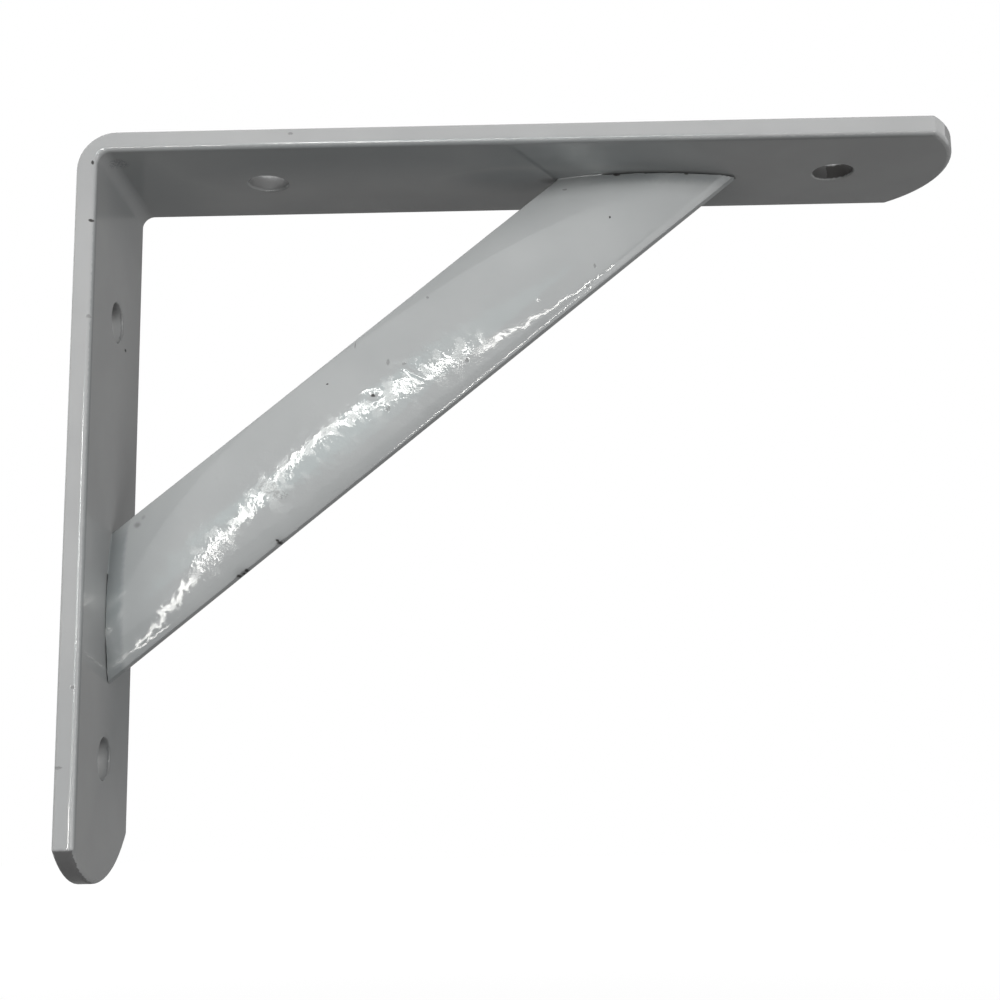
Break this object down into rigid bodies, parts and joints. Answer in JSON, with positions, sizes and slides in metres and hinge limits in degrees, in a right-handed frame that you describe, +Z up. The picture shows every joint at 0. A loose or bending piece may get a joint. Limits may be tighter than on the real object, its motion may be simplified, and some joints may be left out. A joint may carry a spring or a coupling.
{
  "type": "shelf bracket",
  "caption": "Right-angle shelf bracket bent from flat steel bar, with rounded ends, screw holes and a pressed, arched brace welded across its corner, in glossy grey paint.",
  "frame": {"origin": "on the wall face, in the middle of the bar's width, halfway between the wall screw holes", "axes": "+X out from the wall along the shelf leg, +Z up towards the shelf, Y across the bar with the front of the brace facing -Y"},
  "size_m": [0.1495, 0.031, 0.1235],
  "materials": {
    "grey_paint": "gloss"
  },
  "bodies": {
    "root": {"angle_bar": "grey_paint", "brace": "grey_paint", "shelf_weld": "grey_paint", "wall_weld": "grey_paint"}
  },
  "joints": []
}
